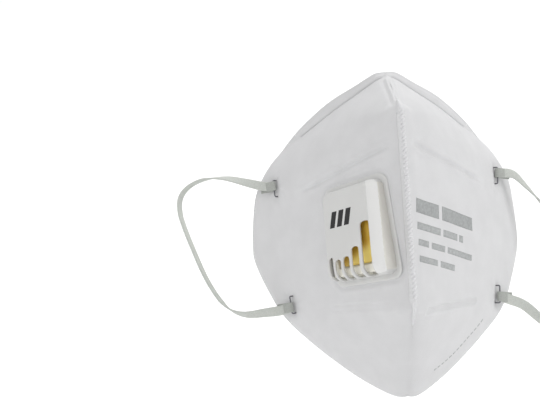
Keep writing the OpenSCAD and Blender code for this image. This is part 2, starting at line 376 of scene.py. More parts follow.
def rounded_outline(size, radius, step):
    """A rounded rectangle round the origin, as a polygon with even sides."""
    w, h = size[0] / 2, size[1] / 2
    corners = [(w - radius, h - radius, 0), (radius - w, h - radius, 90),
               (radius - w, radius - h, 180), (w - radius, radius - h, 270)]
    points = []
    for x, y, start in corners:
        for i in range(9):
            points.append(np.array([x, y]) + radius * turned(start + i * 11.25))
    points.append(points[0])
    return even(np.array(points), step)[:-1]


def thin_out(points, lines, gap):
    """The points that are further than gap from every line."""
    for line in lines:
        points = points[near_line(points, line)[0] > gap]
    return points


def lattice(step, low, high):
    """Points of a triangular grid over the box from low to high."""
    row_gap = step * 0.866
    grid = []
    for i, y in enumerate(np.arange(low[1], high[1], row_gap)):
        row = np.arange(low[0] + (i % 2) * step / 2, high[0], step)
        grid.append(np.stack([row, np.full(len(row), y)], 1))
    return np.vstack(grid)


def triangulate(side, step, fine):
    """Points and triangles of one side panel's cut, with the split line kept as an edge."""
    front = np.array([[WELD_GAP, 0.4], [WELD_GAP, weld_len - 0.4]])
    chin_line = np.array([chin_tip, [0, 0]])
    sides = [even(line, step) for line in (chin_line, front, nose_line)]
    loop = np.vstack([*sides, even(rim_curve, step)[1:-1]])
    off_split, far = np.abs(loop[:, 1] - cut_height(loop[:, 0])), 1e3
    i = int(np.argmin(off_split + far * (loop[:, 0] > 5)))
    loop[i] = WELD_GAP, cut_height(WELD_GAP)
    j = int(np.argmin(off_split + far * (loop[:, 0] < 50)))
    loop[j, 1] = cut_height(loop[j, 0])
    cut = even(np.array([loop[i], loop[j]]), step)[1:-1]
    hole = from_valve(rounded_outline((23, 27), 3, step)) if side == "right" else np.zeros((0, 2))
    if len(hole):
        clear = near_line(cut, np.vstack([hole, hole[:1]]))[0] > step * 0.6
        cut = cut[~inside(cut, hole) & clear]
    grids = [lattice(step, (0, -60), (106, 122))]
    if fine:
        for line, width in fine_lines(side):
            near = lattice(step / 2, line.min(0) - width, line.max(0) + width)
            grids.append(near[near_line(near, line)[0] < width])
    grid = np.vstack(grids)
    grid = grid[inside(grid, loop)]
    bounds = [np.vstack([loop, loop[:1]]), np.vstack([loop[i], cut, loop[j]])]
    if len(hole):
        grid = grid[~inside(grid, hole)]
        bounds.append(np.vstack([hole, hole[:1]]))
    grid = thin_out(grid, bounds, step * 0.42)
    if fine:
        cells = np.round(grid / (step * 0.28)).astype(int)
        grid = grid[np.unique(cells, axis=0, return_index=True)[1]]
    n, c, h = len(loop), len(cut), len(hole)
    points = np.vstack([loop, cut, hole, grid])
    edges = [(k, (k + 1) % n) for k in range(n)]
    split = [i] + list(range(n, n + c)) + [j]
    gaps = np.hypot(*(points[split[:-1]] - points[split[1:]]).T)
    edges += [(a, b) for a, b, g in zip(split[:-1], split[1:], gaps) if g < 3 * step]
    edges += [(n + c + k, n + c + (k + 1) % h) for k in range(h)]
    made = geometry.delaunay_2d_cdt([Vector(p) for p in points], edges, [], 0, 1e-5)
    points = np.array([tuple(p) for p in made[0]])
    triangles = np.array(made[2])
    centres = points[triangles].mean(1)
    keep = inside(centres, loop)
    if len(hole):
        keep &= ~inside(centres, hole)
    triangles = triangles[keep]
    a, b, c3 = (points[triangles[:, k]] for k in range(3))
    turn = (b - a)[:, 0] * (c3 - a)[:, 1] - (b - a)[:, 1] * (c3 - a)[:, 0]
    triangles = triangles[np.abs(turn) > 1e-6]
    turn = turn[np.abs(turn) > 1e-6]
    triangles[turn < 0] = triangles[turn < 0][:, ::-1]
    return points, triangles


# ---- relief pressed into the outer cloth ----

upper_line = np.array([[3.0, 71.0], [66.0, 55.0]])
lower_lines = {"left": np.array([[9.0, -1.8], [50.0, -1.3]]),
               "right": np.array([[10.5, 1.4], [46.0, -1.3]])}
groove_line = np.array([groove_start + [3.0, -1.6], groove_end])
RIB_PITCH = 1.5
DOT_PITCH = 2.0


def fine_lines(side):
    """The pressed lines that need small triangles, each with half the width of its relief."""
    return [(lower_lines[side], 2.6), (groove_line, 2.2), (nose_line, 2.6), (upper_line, 1.6)]


def line_relief(flat, side):
    """Height added by the pressed lines, the nose groove and the ridge along the nose seam."""
    upper, upper_at = near_line(flat, upper_line)
    ends = smooth(upper_at, 0, 7) * (1 - smooth(upper_at, 50, 64))
    lip, depth = (2.0, 0.72) if side == "right" else (2.4, 0.85)
    height = ends * (0.35 * bump(upper - lip, 1.3) - depth * bump(upper, 1.1))
    lower, lower_at = near_line(flat, lower_lines[side])
    firm = 0.4 if side == "right" else 1.0
    band = 1 - smooth(lower, 1.3, 1.9)
    across = flat[:, 1] + 1.6
    ribs = np.sin(2 * math.pi * (lower_at + across) / RIB_PITCH)
    ribs *= np.sin(2 * math.pi * (lower_at - across) / RIB_PITCH)
    height += firm * (band * (-0.3 + 0.17 * ribs) + 0.14 * bump(lower - 2.4, 0.8))
    height -= 1.0 * bump(near_line(flat, groove_line)[0], 0.75)
    nose, nose_at = near_line(flat, nose_line)
    ridge = 0.55 * (1 - smooth(nose, 0.8, 1.5)) - 0.3 * bump(nose - 2.2, 0.7)
    return height + ridge * smooth(nose_at, 1, 5) * (1 - smooth(nose_at, 30, 36))


def rim_dots(flat):
    """Depth of the two staggered rows of welded dots along the rim."""
    gap, at = near_line(flat, rim)
    depth = np.zeros(len(flat))
    for row, shift in ((1.0, 0.0), (2.1, DOT_PITCH / 2)):
        off = np.abs((at + shift) % DOT_PITCH - DOT_PITCH / 2)
        depth += 0.26 * bump(np.hypot(gap - row, off), 0.5)
    return np.where(gap < 4, depth, 0)


def puckers(flat):
    """Depth of the dent under each staple's crown, with rays of small folds round it."""
    depth = 0
    for foot in (staple_low, staple_high):
        reach = staple_dir * crown_half
        crown, _ = near_line(flat, np.array([foot - reach, foot + reach]))
        rel = flat - foot
        ray = np.cos(7 * np.arctan2(rel[:, 1], rel[:, 0]) + 0.6)
        depth += 0.55 * bump(crown, 2.4) + 0.16 * ray * bump(crown - 4.0, 3.2)
    return depth


def valve_bed(flat):
    """Height of the cloth round the valve's flange: a lip, a weld line and the seat under the flange."""
    gap = frame_distance(valve_local(flat), valve_size + 2 * flange_margin, 5)
    return 0.25 * bump(gap - 2.2, 1.2) - 0.3 * bump(gap - 0.6, 0.8) - 0.1 * (1 - smooth(gap, -1.5, -0.5))


def press(flat, side):
    """Height of the outer cloth's face above its plain surface."""
    height = line_relief(flat, side) - rim_dots(flat) - puckers(flat)
    return height + valve_bed(flat) if side == "right" else height


def thickness_share(flat):
    """The laminate is pressed thin along the rim and the front weld."""
    gap, _ = near_line(flat, rim)
    rim_share = 0.5 + 0.5 * smooth(gap, 0.6, 2.6)
    weld_share = 0.5 + 0.5 * smooth(flat[:, 0], 0.5, 6.0)
    on_weld = smooth(flat[:, 1], -8, 2) * (1 - smooth(flat[:, 1], weld_len - 2, weld_len + 8))
    return rim_share * (1 - on_weld * (1 - weld_share))


def level(height, share):
    """A height in the laminate, where the cloth is pressed to a share of its thickness."""
    return INNER[0] + (height - INNER[0]) * share


def at_heights(flat, side, heights):
    """Points of the worn panel of one side, at heights above its hinge surface."""
    base, normals = worn(flat, side), worn_normals(flat, side)
    return on_side(base + normals * heights[:, None], side)


# ---- meshes ----

def mesh_piece(name, points_mm, faces, material, uv=None, normals=None, smooth_faces=True):
    """An object from points in millimetres; uv holds a point of the flat cut for each point."""
    mesh = bpy.data.meshes.new(name)
    mesh.from_pydata(np.asarray(points_mm) * MM, [], [tuple(int(i) for i in f) for f in faces])
    mesh.materials.append(material)
    if smooth_faces:
        mesh.polygons.foreach_set("use_smooth", np.ones(len(mesh.polygons), bool))
    if uv is not None:
        corners = np.zeros(len(mesh.loops), int)
        mesh.loops.foreach_get("vertex_index", corners)
        layer = mesh.uv_layers.new(name="flat")
        layer.data.foreach_set("uv", (np.asarray(uv)[corners] / 100).astype(np.float32).ravel())
    if normals is not None:
        mesh.normals_split_custom_set(normals)
    mesh.update()
    piece = bpy.data.objects.new(name, mesh)
    bpy.context.scene.collection.objects.link(piece)
    return piece


def vertex_normals(points, triangles):
    """Area-weighted normals of a triangle mesh."""
    a, b, c = (points[triangles[:, k]] for k in range(3))
    face = np.cross(b - a, c - a)
    total = np.zeros_like(points)
    for k in range(3):
        np.add.at(total, triangles[:, k], face)
    return total / np.maximum(np.linalg.norm(total, axis=1), 1e-12)[:, None]


def cloth_layer(name, side, part, cut, faces_mm, normals, material):
    """A closed solid of one layer, top or bottom piece, between its outer and inner faces."""
    flat, triangles = cut
    above = flat[triangles].mean(1)
    chosen = (above[:, 1] > cut_height(above[:, 0])) == (part == "top")
    triangles = triangles[chosen]
    used, renamed = np.unique(triangles, return_inverse=True)
    triangles = renamed.reshape(-1, 3)
    outer, inner = faces_mm[0][used], faces_mm[1][used]
    count = len(used)
    pairs = np.vstack([triangles[:, [0, 1]], triangles[:, [1, 2]], triangles[:, [2, 0]]])
    keys = np.sort(pairs, axis=1)
    _, first, number = np.unique(keys, axis=0, return_index=True, return_counts=True)
    rim_edges = pairs[first[number == 1]]
    walls = np.stack([rim_edges[:, 1], rim_edges[:, 0], rim_edges[:, 0] + count, rim_edges[:, 1] + count], 1)
    points = on_side(np.vstack([outer, inner]), side)
    faces = [*triangles, *(triangles[:, ::-1] + count), *walls]
    front, back = normals[0][used], -normals[1][used]
    a, b, c = (np.vstack([outer, inner])[walls[:, k]] for k in (0, 1, 2))
    wall = np.cross(b - a, c - a)
    wall /= np.maximum(np.linalg.norm(wall, axis=1), 1e-12)[:, None]
    loop_normals = np.vstack([front[triangles].reshape(-1, 3), back[triangles[:, ::-1]].reshape(-1, 3),
                              np.repeat(wall, 4, axis=0)])
    if side == "right":
        faces = [f[::-1] for f in faces]
        sizes = [3] * (2 * len(triangles)) + [4] * len(walls)
        starts = np.concatenate([[0], np.cumsum(sizes)])
        order = np.concatenate([np.arange(starts[k + 1] - 1, starts[k] - 1, -1) for k in range(len(sizes))])
        loop_normals = (loop_normals * [-1, 1, 1])[order]
    uv = np.vstack([flat[used], flat[used]])
    piece = mesh_piece(name, points, faces, material, uv, loop_normals)
    a, b, c = (uv[triangles[:, k]] for k in range(3))
    return piece


# ---- materials ----

class Look:
    """A material whose colour, roughness and bumps follow textures."""

    def __init__(self, name, colour, roughness, **inputs):
        self.material = bpy.data.materials.new(name)
        self.material.use_nodes = True
        self.nodes = self.material.node_tree.nodes
        self.link = self.material.node_tree.links.new
        self.shader = self.nodes["Principled BSDF"]
        self.colour_from = None
        for key, value in {"Base_Color": (*colour, 1), "Roughness": roughness, **inputs}.items():
            self.shader.inputs[key.replace("_", " ")].default_value = value

    def texture(self, kind, scale, source="UV", stretch=(1, 1, 1), **settings):
        """The value of a texture on the given coordinates; stretch squeezes it along each of them."""
        place = self.nodes.new("ShaderNodeTexCoord")
        mapping = self.nodes.new("ShaderNodeMapping")
        mapping.inputs["Scale"].default_value = stretch
        node = self.nodes.new(f"ShaderNodeTex{kind}")
        for key, value in {"Scale": scale, **settings}.items():
            node.inputs[key].default_value = value
        self.link(place.outputs[source], mapping.inputs["Vector"])
        self.link(mapping.outputs["Vector"], node.inputs["Vector"])
        return node.outputs["Distance" if kind == "Voronoi" else "Fac"]

    def vary_colour(self, value, dark, light):
        ramp = self.nodes.new("ShaderNodeValToRGB")
        for stop, position, colour in zip(ramp.color_ramp.elements, (0.3, 0.7), (dark, light)):
            stop.position = position
            stop.color = (*colour, 1)
        self.link(value, ramp.inputs["Fac"])
        self.link(ramp.outputs["Color"], self.shader.inputs["Base Color"])
        self.colour_from = ramp.outputs["Color"]

    def vary_roughness(self, value, low, high):
        span = self.nodes.new("ShaderNodeMapRange")
        span.inputs["To Min"].default_value = low
        span.inputs["To Max"].default_value = high
        self.link(value, span.inputs["Value"])
        self.link(span.outputs["Result"], self.shader.inputs["Roughness"])

    def bumps(self, *layers):
        """Each layer is (texture value, strength, distance in metres)."""
        normal = self.shader.inputs["Normal"]
        for value, strength, distance in reversed(layers):
            node = self.nodes.new("ShaderNodeBump")
            node.inputs["Strength"].default_value = strength
            node.inputs["Distance"].default_value = distance
            self.link(value, node.inputs["Height"])
            self.link(node.outputs["Normal"], normal)
            normal = node.inputs["Normal"]


def times(colour, factor):
    return [min(1, factor * channel) for channel in colour]


def cloth_material(name, dark, light, fibre, dots):
    """Spun-bonded cloth: crossed fibres, tiny bonded dots and a faint cloudiness."""
    look = Look(name, light, 0.72, Sheen_Weight=0.12, Sheen_Roughness=0.5, Specular_IOR_Level=0.3)
    look.vary_colour(look.texture("Noise", 9.0, Detail=4.0), dark, light)
    first = look.texture("Noise", 150.0, stretch=(1.0, 0.16, 1), Detail=3.0)
    second = look.texture("Noise", 150.0, stretch=(0.16, 1.0, 1), Detail=3.0)
    bonded = look.texture("Voronoi", 78.0, Randomness=0.25)
    look.vary_roughness(second, 0.62, 0.82)
    look.bumps((first, fibre, 0.0002), (second, fibre, 0.0002), (bonded, dots, 0.00015))
    return look.material


def pressed_material():
    """Cloth pressed into a cord: matt, with a fine fibre grain."""
    look = Look("pressed_cloth", (0.71, 0.71, 0.72), 0.75, Specular_IOR_Level=0.3)
    fibre = look.texture("Noise", 900.0, "Object", Detail=3.0)
    look.vary_colour(fibre, (0.66, 0.66, 0.67), (0.72, 0.72, 0.73))
    look.vary_roughness(fibre, 0.65, 0.85)
    look.bumps((fibre, 0.3, 0.0001))
    return look.material


def plastic_material(name, colour, shade, roughness):
    """Moulded plastic with a faint grain and a little flow variation."""
    look = Look(name, colour, roughness, IOR=1.48, Coat_Weight=0.12, Coat_Roughness=0.25)
    grain = look.texture("Noise", 2600.0, "Object", Detail=2.0)
    look.vary_colour(look.texture("Noise", 60.0, "Object", Detail=2.0), shade, colour)
    look.vary_roughness(grain, roughness - 0.06, roughness + 0.1)
    look.bumps((grain, 0.12, 0.00005))
    return look.material


def elastic_material(name, light):
    """Braided elastic: fine stitches across the ribs of the band. light scales its colours; below 1 it gives
    a darker copy, used as painted shade on the folded ends.
    """
    look = Look(name, (0.60, 0.62, 0.59), 0.8, Sheen_Weight=0.2)
    stitch = look.texture("Wave", 70.0, stretch=(1.0, 0.35, 1), Distortion=1.2, Detail=1.0)
    yarn = look.texture("Noise", 120.0, Detail=3.0)
    look.vary_colour(yarn, times((0.50, 0.52, 0.485), light), times((0.62, 0.64, 0.605), light))
    look.vary_roughness(yarn, 0.7, 0.9)
    look.bumps((stitch, 0.5, 0.0002), (yarn, 0.25, 0.0001))
    return look.material


def rubber_material():
    """Amber rubber, with painted light: a pale yellow beyond a line across the flap, where the flap is lit.
    """
    look = Look("flap_rubber", (0.72, 0.47, 0.07), 0.38, Subsurface_Weight=0.15,
                Subsurface_Radius=(0.002, 0.001, 0.0004))
    cloud = look.texture("Noise", 90.0, "Object", Detail=2.0)
    fine = look.texture("Noise", 1500.0, "Object", Detail=2.0)
    look.vary_colour(cloud, (0.62, 0.36, 0.04), (0.78, 0.52, 0.09))
    place = look.nodes.new("ShaderNodeTexCoord")
    parts = look.nodes.new("ShaderNodeSeparateXYZ")
    painted_light_fade = look.nodes.new("ShaderNodeMapRange")
    painted_light_fade.interpolation_type = "SMOOTHSTEP"
    painted_light_fade.inputs["From Min"].default_value = 0.02
    painted_light_fade.inputs["From Max"].default_value = 0.07
    painted_light_mix = look.nodes.new("ShaderNodeMix")
    painted_light_mix.data_type = "RGBA"
    # Painted light: the pale yellow of the lit part of the flap.
    painted_light_mix.inputs["B"].default_value = (0.95, 0.74, 0.20, 1)
    look.link(place.outputs["UV"], parts.inputs["Vector"])
    look.link(parts.outputs["X"], painted_light_fade.inputs["Value"])
    look.link(painted_light_fade.outputs["Result"], painted_light_mix.inputs["Factor"])
    look.link(look.colour_from, painted_light_mix.inputs["A"])
    look.link(painted_light_mix.outputs["Result"], look.shader.inputs["Base Color"])
    look.vary_roughness(fine, 0.32, 0.48)
    look.bumps((fine, 0.1, 0.00005))
    return look.material


def metal_material(name, colour, roughness):
    """Drawn wire or rolled strip, with fine scratches along it."""
    look = Look(name, colour, roughness, Metallic=1.0)
    scratch = look.texture("Noise", 1800.0, "Object", stretch=(1, 1, 0.15), Detail=3.0)
    look.vary_colour(scratch, times(colour, 0.7), colour)
    look.vary_roughness(scratch, roughness - 0.08, roughness + 0.15)
    look.bumps((scratch, 0.2, 0.00004))
    return look.material


def ink_material(name, colour):
    """Printing ink that sinks a little into the cloth."""
    look = Look(name, colour, 0.6)
    speck = look.texture("Noise", 900.0, "Object", Detail=3.0)
    look.vary_colour(speck, colour, times(colour, 1.35))
    look.vary_roughness(speck, 0.5, 0.75)
    return look.material


outer_cloth = cloth_material("outer_cloth", (0.635, 0.635, 0.642), (0.672, 0.672, 0.68), 0.22, 0.16)
filter_web = cloth_material("filter_web", (0.78, 0.78, 0.76), (0.88, 0.88, 0.87), 0.5, 0.05)
inner_cloth = cloth_material("inner_cloth", (0.72, 0.72, 0.72), (0.77, 0.77, 0.77), 0.18, 0.2)
weld_cloth = pressed_material()
valve_plastic = plastic_material("valve_plastic", (0.655, 0.655, 0.645), (0.63, 0.63, 0.62), 0.36)
# A lighter copy of the cover plastic: painted light on the bar's face, which is the same moulding as the rest
# of the cover.
bar_painted_light_plastic = plastic_material("valve_bar_painted_light", (0.765, 0.765, 0.755), (0.745, 0.745, 0.735), 0.36)
# A beige copy of the cover plastic: painted shade on the wall that faces the weld, which is the same moulding
# as the rest.
side_painted_shade_plastic = plastic_material("valve_side_painted_shade", (0.68, 0.665, 0.62), (0.66, 0.645, 0.60), 0.5)
# A brighter cream copy of the seat plastic: painted light inside the cover, standing in for light through the
# thin cover where the cover shades the seat.
seat_painted_light_plastic = plastic_material("seat_painted_light_plastic", (0.90, 0.88, 0.80), (0.87, 0.85, 0.76), 0.45)
flap_rubber = rubber_material()
elastic = elastic_material("elastic", 1.0)
# A darker copy of the elastic: painted shade on the folded ends of the bands.
fold_elastic_painted_shade = elastic_material("elastic_fold_painted_shade", 0.72)
staple_steel = metal_material("staple_wire", (0.22, 0.22, 0.24), 0.4)
clip_metal = metal_material("clip_metal", (0.78, 0.79, 0.80), 0.3)
grey_ink = ink_material("grey_ink", (0.30, 0.31, 0.31))
dash_ink = ink_material("dash_ink", (0.34, 0.35, 0.35))
black_ink = ink_material("black_ink", (0.012, 0.012, 0.013))


# ---- camera, then the two ear loops ----

camera = bpy.data.objects.new("camera", bpy.data.cameras.new("camera"))
bpy.context.scene.collection.objects.link(camera)
camera.location = (-0.0478, -0.3147, -0.0065)
camera.rotation_euler = [math.radians(a) for a in (94.046, 3.158, 2.429)]
camera.data.lens = 41.33
camera.data.clip_start = 0.01
bpy.context.scene.camera = camera

swing_turn = math.atan2(*staple_dir[::-1]) - math.pi / 2
band_width, band_thick = 5.0, 0.9
BAND_STEP, FOLD_STEP = 0.7, 0.35
FOLD_THICK = 0.66                 # the band is drawn thinner where it is folded
SECTION_UV = 20                   # round the band, in the same units as its length
BAND_SHIFT = 1.2                  # how far a loop's ends lie outside the middles of their staples
RIGHT_ROUTE = [[0.9, -BAND_SHIFT], [6, -2], [14, -2], [25, -1.5], [33, 2], [39, 9], [45, 21], [50, 36],
               [54, 50], [55.5, 59], [54, 66.5], [48, 71.5], [38, 73.5], [26, 71.5], [14, 66.5], [6, 63],
               [0.9, swing_span + BAND_SHIFT]]
LEFT_ROUTE = [[0.9, -BAND_SHIFT], [6, -2.5], [14, -5], [24, -12], [34, -18.5], [45, -20], [53, -14],
              [57, -2], [56, 11], [50, 23], [42, 33], [33, 42], [24, 50], [16, 57], [9, 62],
              [0.9, swing_span + BAND_SHIFT]]


def from_loop(points, side, lift=loop_lift):
    """Points of a loop's own plane, x away from the swing axis and y up it, in the row frame."""
    x, y, z = np.asarray(points, float).T
    x, z = x * math.cos(lift) - z * math.sin(lift), x * math.sin(lift) + z * math.cos(lift)
    c, s = math.cos(swing_turn), math.sin(swing_turn)
    flat = np.stack([staple_low[0] + c * x - s * y, staple_low[1] + s * x + c * y], 1)
    return on_side(placed(flat, crown_height + z), side)


def catmull(route, steps):
    """A smooth curve through the points of a route."""
    r = np.asarray(route, float)
    points = []
    for i in range(len(r) - 1):
        a, b, c, d = r[max(i - 1, 0)], r[i], r[i + 1], r[min(i + 2, len(r) - 1)]
        for t in np.arange(steps) / steps:
            points.append(0.5 * (2 * b + (c - a) * t + (2 * a - 5 * b + 4 * c - d) * t * t
                                 + (3 * b - a - 3 * c + d) * t ** 3))
    return np.array(points + [r[-1]])


def band_section():
    """Cross-section of the elastic, seven ribs wide, as (across, through) pairs."""
    top = [(q, band_thick / 2 * (0.9 + 0.1 * math.cos(2 * math.pi * q * 7 / band_width)))
           for q in np.linspace(band_width / 2 - 0.2, 0.2 - band_width / 2, 29)]
    half = top + [(-band_width / 2, 0.2), (-band_width / 2, -0.2)]
    return half + [(-q, -h) for q, h in half]


def sweep(name, rings, material, uv=None):
    """A closed solid through a row of rings with the same number of points."""
    rings = np.asarray(rings)
    n, k = rings.shape[:2]
    faces = [(i * k + j, i * k + (j + 1) % k, (i + 1) * k + (j + 1) % k, (i + 1) * k + j)
             for i in range(n - 1) for j in range(k)]
    faces += [list(range(k))[::-1], [(n - 1) * k + j for j in range(k)]]
    piece = mesh_piece(name, rings.reshape(-1, 3), faces, material, uv)
    fix_facing(piece)
    return piece


def fix_facing(piece):
    """Turns every face of a closed piece outwards."""
    work = bmesh.new()
    work.from_mesh(piece.data)
    bmesh.ops.recalc_face_normals(work, faces=work.faces)
    work.to_mesh(piece.data)
    work.free()


def ear_loop(side, route):
    """An elastic band with its folded ends, flat on the staples and on edge between them."""
    line = even(catmull(route, 12), BAND_STEP)
    count = len(line)
    section = band_section()
    heading = directions(line)
    heading[[0, -1]] = (1, 0), (-1, 0)
    rings, uv = [], []
    for i, (p, d) in enumerate(zip(line, heading)):
        t = i / (count - 1)
        turn = math.radians(90 * min(1, 4 * min(t, 1 - t)))
        across = np.array([-d[1], d[0], 0])
        wide = math.cos(turn) * across + [0, 0, math.sin(turn)]
        thick = np.cross(wide, [*d, 0])
        ring = [[*p, 0] + q * wide + h * thick for q, h in section]
        rings.append(from_loop(ring, side))
        uv += [(i * BAND_STEP, SECTION_UV * j / len(section)) for j in range(len(section))]
    band = sweep(f"elastic_band_{side}", rings, elastic, uv)
    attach(band, f"{side}_loop")
    tabs = [band_fold(side, f"band_fold_{end}_{side}", y)
            for end, y in (("lower", -BAND_SHIFT), ("upper", swing_span + BAND_SHIFT))]
    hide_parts(f"ear_loop_{side}")


def band_fold(side, name, y):
    """The band's end, folded round the staple's wire and laid back under the band."""
    route = [(7.5, -0.95), (5.0, -0.98), (2.6, -1.0)]
    route += [(-0.95 * math.sin(a), -0.98 * math.cos(a)) for a in np.linspace(0, math.pi, 13)]
    route += [(1.6, 0.9), (2.8, 0.62), (3.8, 0.4)]
    route = even(np.array(route), FOLD_STEP)
    rings, uv = [], []
    for i, (p, d) in enumerate(zip(route, directions(route))):
        ring = []
        for q, h in band_section():
            x, z = p + np.array([-d[1], d[0]]) * h * FOLD_THICK / band_thick
            ring.append([x, y + 0.98 * q, z])
        rings.append(from_loop(ring, side))
        uv += [(i * FOLD_STEP, SECTION_UV * j / len(ring)) for j in range(len(ring))]
    # Painted shade: the fold is drawn in the darker copy of the elastic.
    tab = sweep(name, rings, fold_elastic_painted_shade, uv)
    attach(tab, f"{side}_loop")
    return tab


for loop_side, loop_route in (("right", RIGHT_ROUTE), ("left", LEFT_ROUTE)):
    ear_loop(loop_side, loop_route)


# ---- cloth panels ----

clip_line = np.array([groove_start + groove_dir * t + 3.0 * groove_off for t in (4.0, 52.0)])
clip_width, clip_faces = 3.4, (1.02, 1.5)


def crease_blend(piece, side, zone):
    """Works out a direction across the crease between the middle zone and the zone beyond it, which nothing
    uses, and bakes the piece's transform into its mesh.
    """
    sign = -1 if side == "right" else 1
    joint = joints[f"{side}_{zone}_crease"]
    far = upper_normal if zone == "upper" else lower_normal
    mean = (OUT + far) / np.linalg.norm(OUT + far) * [sign, 1, 1]
    across = np.cross(mean, np.array(joint["axis"]))
    if across @ UP * (1 if zone == "upper" else -1) < 0:
        across = -across
    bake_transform(piece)


def build_panel(side):
    """The three layers of one side, each in a top and a bottom piece."""
    fine = triangulate(side, 0.8, True)
    plain = triangulate(side, 1.8, False)
    for layer, (low, high), cut, material, slot_name in (
            ("outer_cover", OUTER, fine, outer_cloth, "outer_cloth"),
            ("filter_layer", FILTER, plain, filter_web, "filter_web"),
            ("inner_cover", INNER, plain, inner_cloth, "inner_cloth")):
        flat, triangles = cut
        share = thickness_share(flat)
        base, normals = worn(flat, side), worn_normals(flat, side)
        dent = np.minimum(press(flat, side), 0.6)
        sink = np.minimum(dent, 0)
        bottom, top = level(low, share), level(high, share)
        if layer == "outer_cover":
            top = top + dent
            bottom = bottom + sink
        if layer == "filter_layer":
            for line in (upper_line, groove_line):
                top = top - 0.75 * (1 - smooth(near_line(flat, line)[0], 1.8, 3.4))
            top = np.maximum(top + sink, bottom + 0.08)
            pocket = 1 - smooth(near_line(flat, clip_line)[0], 1.9, 2.3)
            top = np.minimum(top, top - pocket * (top - bottom - 0.12))
        outer = base + normals * top[:, None]
        inner = base + normals * bottom[:, None]
        shading = [vertex_normals(outer, triangles), vertex_normals(inner, triangles)]
        seam = np.abs(base[:, 0]) < 0.02
        for n in shading:
            n[seam, 0] = 0
            n[seam] /= np.linalg.norm(n[seam], axis=1)[:, None]
        for part, zone in (("top", "upper"), ("bottom", "lower")):
            piece = cloth_layer(f"{layer}_{part}_{side}", side, part, cut, (outer, inner), shading, material)
            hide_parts(f"{layer}_{zone}_{side}", f"{layer}_middle_{side}")
            crease_blend(piece, side, zone)


def nose_strip(side):
    """The metal strip in the nose band, between the filter and the outer cover."""
    line = even(clip_line, 0.8)
    d = directions(line)
    across = np.stack([-d[:, 1], d[:, 0]], 1)
    flat = np.vstack([line + across * offset for offset in np.linspace(-clip_width / 2, clip_width / 2, 5)])
    share = thickness_share(flat)
    low, high = (at_heights(flat, side, level(face, share)).reshape(-1, len(line), 3) for face in clip_faces)
    clip = sweep(f"nose_strip_{side}", [[*high[:, i], *low[::-1, i]] for i in range(len(line))], clip_metal)
    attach(clip, f"{side}_upper")
    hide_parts(f"nose_clip_{side}")


# ---- printed marks ----

def slab_faces(cols, rows):
    """Faces of a thin slab: two grids of points, the upper one's points first, joined round their border."""
    n = cols * rows
    top = [(k, k + 1, k + 1 + cols, k + cols)
           for j in range(rows - 1) for k in range(j * cols, j * cols + cols - 1)]
    ring = [*range(cols - 1), *range(cols - 1, n - 1, cols),
            *range(n - 1, n - cols, -1), *range(n - cols, 0, -cols)]
    walls = [(a, b, b + n, a + n) for a, b in zip(ring, ring[1:] + ring[:1])]
    return top + [tuple(k + n for k in face[::-1]) for face in top] + walls


def ink_patch(name, outline, body, material):
    """A thin printed mark on the left outer cover: a flat quadrilateral cut finely and laid on the panel."""
    a, b, c, d = (np.array(p, float) for p in outline)
    cols = max(2, int(math.hypot(*(b - a)) / 0.8) + 1)
    rows = max(2, int(math.hypot(*(d - a)) / 0.8) + 1)
    flat = np.array([(a * (1 - i) + b * i) * (1 - j) + (d * (1 - i) + c * i) * j
                     for j in np.linspace(0, 1, rows) for i in np.linspace(0, 1, cols)])
    face = level(OUTER[1], thickness_share(flat)) + press(flat, "left")
    points = np.vstack([at_heights(flat, "left", face + lift) for lift in (0.03, -0.05)])
    piece = mesh_piece(name, points, slab_faces(cols, rows), material)
    fix_facing(piece)
    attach(piece, body)


def print_lines():
    """Plain bars in four lines on the left panel, standing for small print.
    Each line has its top, its height, and where its words start and end."""
    rows = [(47.7, 6.2, ((4.3, 20.3), (22.6, 49.0))),
            (37.4, 3.1, ((4.3, 20.8), (22.8, 34.5), (36.2, 39.6))),
            (30.1, 2.7, ((4.3, 11.5), (13.6, 23.6), (25.6, 47.5))),
            (23.0, 2.7, ((4.3, 17.5), (19.8, 31.5)))]
    slope = -0.2
    for row, (top, height, words) in enumerate(rows):
        lean = 0.1 * height
        for k, (start, end) in enumerate(words):
            corners = [(start, top - height + slope * start), (end, top - height + slope * end),
                       (end + lean, top + slope * end), (start + lean, top + slope * start)]
            ink_patch(f"print_bar_{row}_{k}", corners, "left_middle", dash_ink if row else grey_ink)


def rim_dashes():
    """A row of tiny dashes along the left panel's lower rim, between two distances from the chin."""
    inset, height = 11.2, 0.8
    from_chin = run_along(rim)[-1] - run_along(rim)
    start, end = (int(np.argmin(np.abs(from_chin - distance))) for distance in (57, 14))
    path = even(rim[start:end], 1.0)
    d = directions(path)
    inward = np.stack([d[:, 1], -d[:, 0]], 1)
    path = path + inward * inset
    for k in range(0, len(path) - 3, 3):
        a, b = path[k], path[k + 2]
        corners = [a, b, b + inward[k + 2] * height, a + inward[k] * height]
        ink_patch(f"rim_dash_{k}", corners, "left_lower", dash_ink)


# ---- front weld ----

FAIR_HEIGHT = 2.3                 # how far the fin stands in front of the ridges it fairs into
STROKE_PITCH = 1.85
ROPE_RADIUS = 0.94


def ridge_front(ridge, along, height):
    """A point in front of a ridge, in the plane of symmetry, as (back, up)."""
    start, run, rise, _ = ridge
    return (start + run * along + rise * height)[1:]


